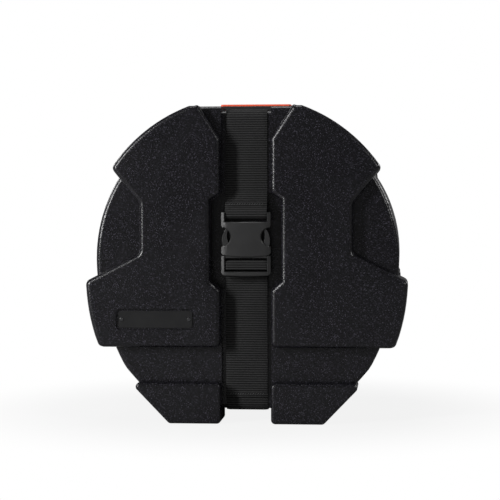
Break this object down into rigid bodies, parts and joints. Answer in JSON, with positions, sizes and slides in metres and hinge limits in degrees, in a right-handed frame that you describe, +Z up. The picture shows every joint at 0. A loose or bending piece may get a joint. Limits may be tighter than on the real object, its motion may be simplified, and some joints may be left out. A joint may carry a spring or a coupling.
{
  "type": "drum case",
  "caption": "Rotationally moulded drum case with raised pads and feet, lift-off lid, foam lining, webbing strap with side release buckle, and a fold-flat carry handle",
  "frame": {"origin": "On the floor, under the middle of the case as it stands on its feet", "axes": "+X to the right seen from the lid, +Y from the lid face to the back, +Z up"},
  "size_m": [0.3846, 0.3, 0.3898],
  "materials": {
    "shell": "orange peel",
    "foam": "open cell foam",
    "webbing": "woven",
    "buckle": "satin",
    "plate": "fine texture",
    "plate_rivets": "satin",
    "rivets": "satin",
    "handle": "satin",
    "grip_pad": "matte",
    "bracket": "powder coat",
    "steel": "zinc plated"
  },
  "bodies": {
    "base": {"base_shell": "shell", "base_side_foam": "foam", "base_end_foam": "foam", "strap_rear": "webbing", "strap_rivets": "rivets", "strap_washers": "steel", "handle_bracket_left": "bracket", "handle_bracket_right": "bracket", "handle_pins": "steel", "handle_screws": "steel", "handle_backing_plates": "steel", "handle_nuts": "steel"},
    "lid": {"lid_shell": "shell", "lid_side_foam": "foam", "lid_end_foam": "foam", "name_plate": "plate", "name_plate_rivets": "plate_rivets", "strap_upper": "webbing", "strap_lower": "webbing", "strap_tail": "webbing", "buckle_socket": "buckle"},
    "plug": {"buckle_plug": "buckle", "strap_loop": "webbing"},
    "arm_left": {"buckle_arm_left": "buckle"},
    "arm_right": {"buckle_arm_right": "buckle"},
    "handle": {"handle_bail": "handle", "handle_grip_pad": "grip_pad"}
  },
  "joints": [
    {"name": "lid_slide", "type": "slide", "parent": "base", "child": "lid", "axis": [0, -1, 0], "range_m": [0, 0.25]},
    {"name": "buckle_release", "type": "slide", "parent": "lid", "child": "plug", "axis": [0, 0, -1], "range_m": [0, 0.045], "deforming": ["buckle_arm_left", "buckle_arm_right"]},
    {"name": "arm_left_press", "type": "hinge", "parent": "plug", "child": "arm_left", "pos_m": [-0.0152, -0.1383, 0.207], "axis": [0, 1, 0], "range_deg": [0, 6]},
    {"name": "arm_right_press", "type": "hinge", "parent": "plug", "child": "arm_right", "pos_m": [0.0152, -0.1383, 0.207], "axis": [0, -1, 0], "range_deg": [0, 6]},
    {"name": "handle_lift", "type": "hinge", "parent": "base", "child": "handle", "pos_m": [0, 0.046, 0.3832], "axis": [-1, 0, 0], "range_deg": [0, 90]}
  ]
}
